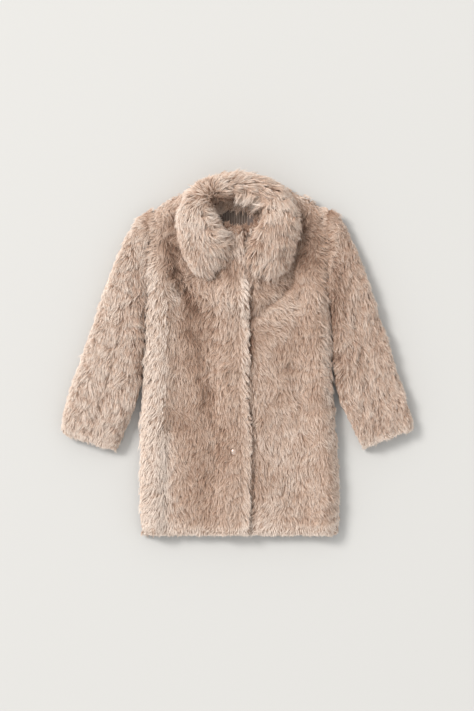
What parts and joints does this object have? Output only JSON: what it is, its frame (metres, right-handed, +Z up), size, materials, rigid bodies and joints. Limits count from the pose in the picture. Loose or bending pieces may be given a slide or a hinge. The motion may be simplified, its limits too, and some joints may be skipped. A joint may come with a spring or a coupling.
{
  "type": "faux fur coat",
  "caption": "Child's faux fur coat with a rolled collar, long sleeves and a lapped front closed by snaps, lying flat on its back.",
  "frame": {"origin": "on the surface the coat lies on, under the middle of its length and breadth", "axes": "+Z up from the surface, +Y from the hem to the collar, +X towards the wearer's left"},
  "size_m": [0.5704, 0.5847, 0.0725],
  "materials": {
    "fur": "long soft pile, matt",
    "lining": "smooth satin",
    "snap": "polished, pale rose gold"
  },
  "bodies": {
    "root": {"back": "fur", "front_left": "fur", "front_right": "fur", "sleeve_left": "fur", "sleeve_right": "fur", "collar": "fur", "neck_lining": "lining", "snap": "snap"}
  },
  "joints": []
}
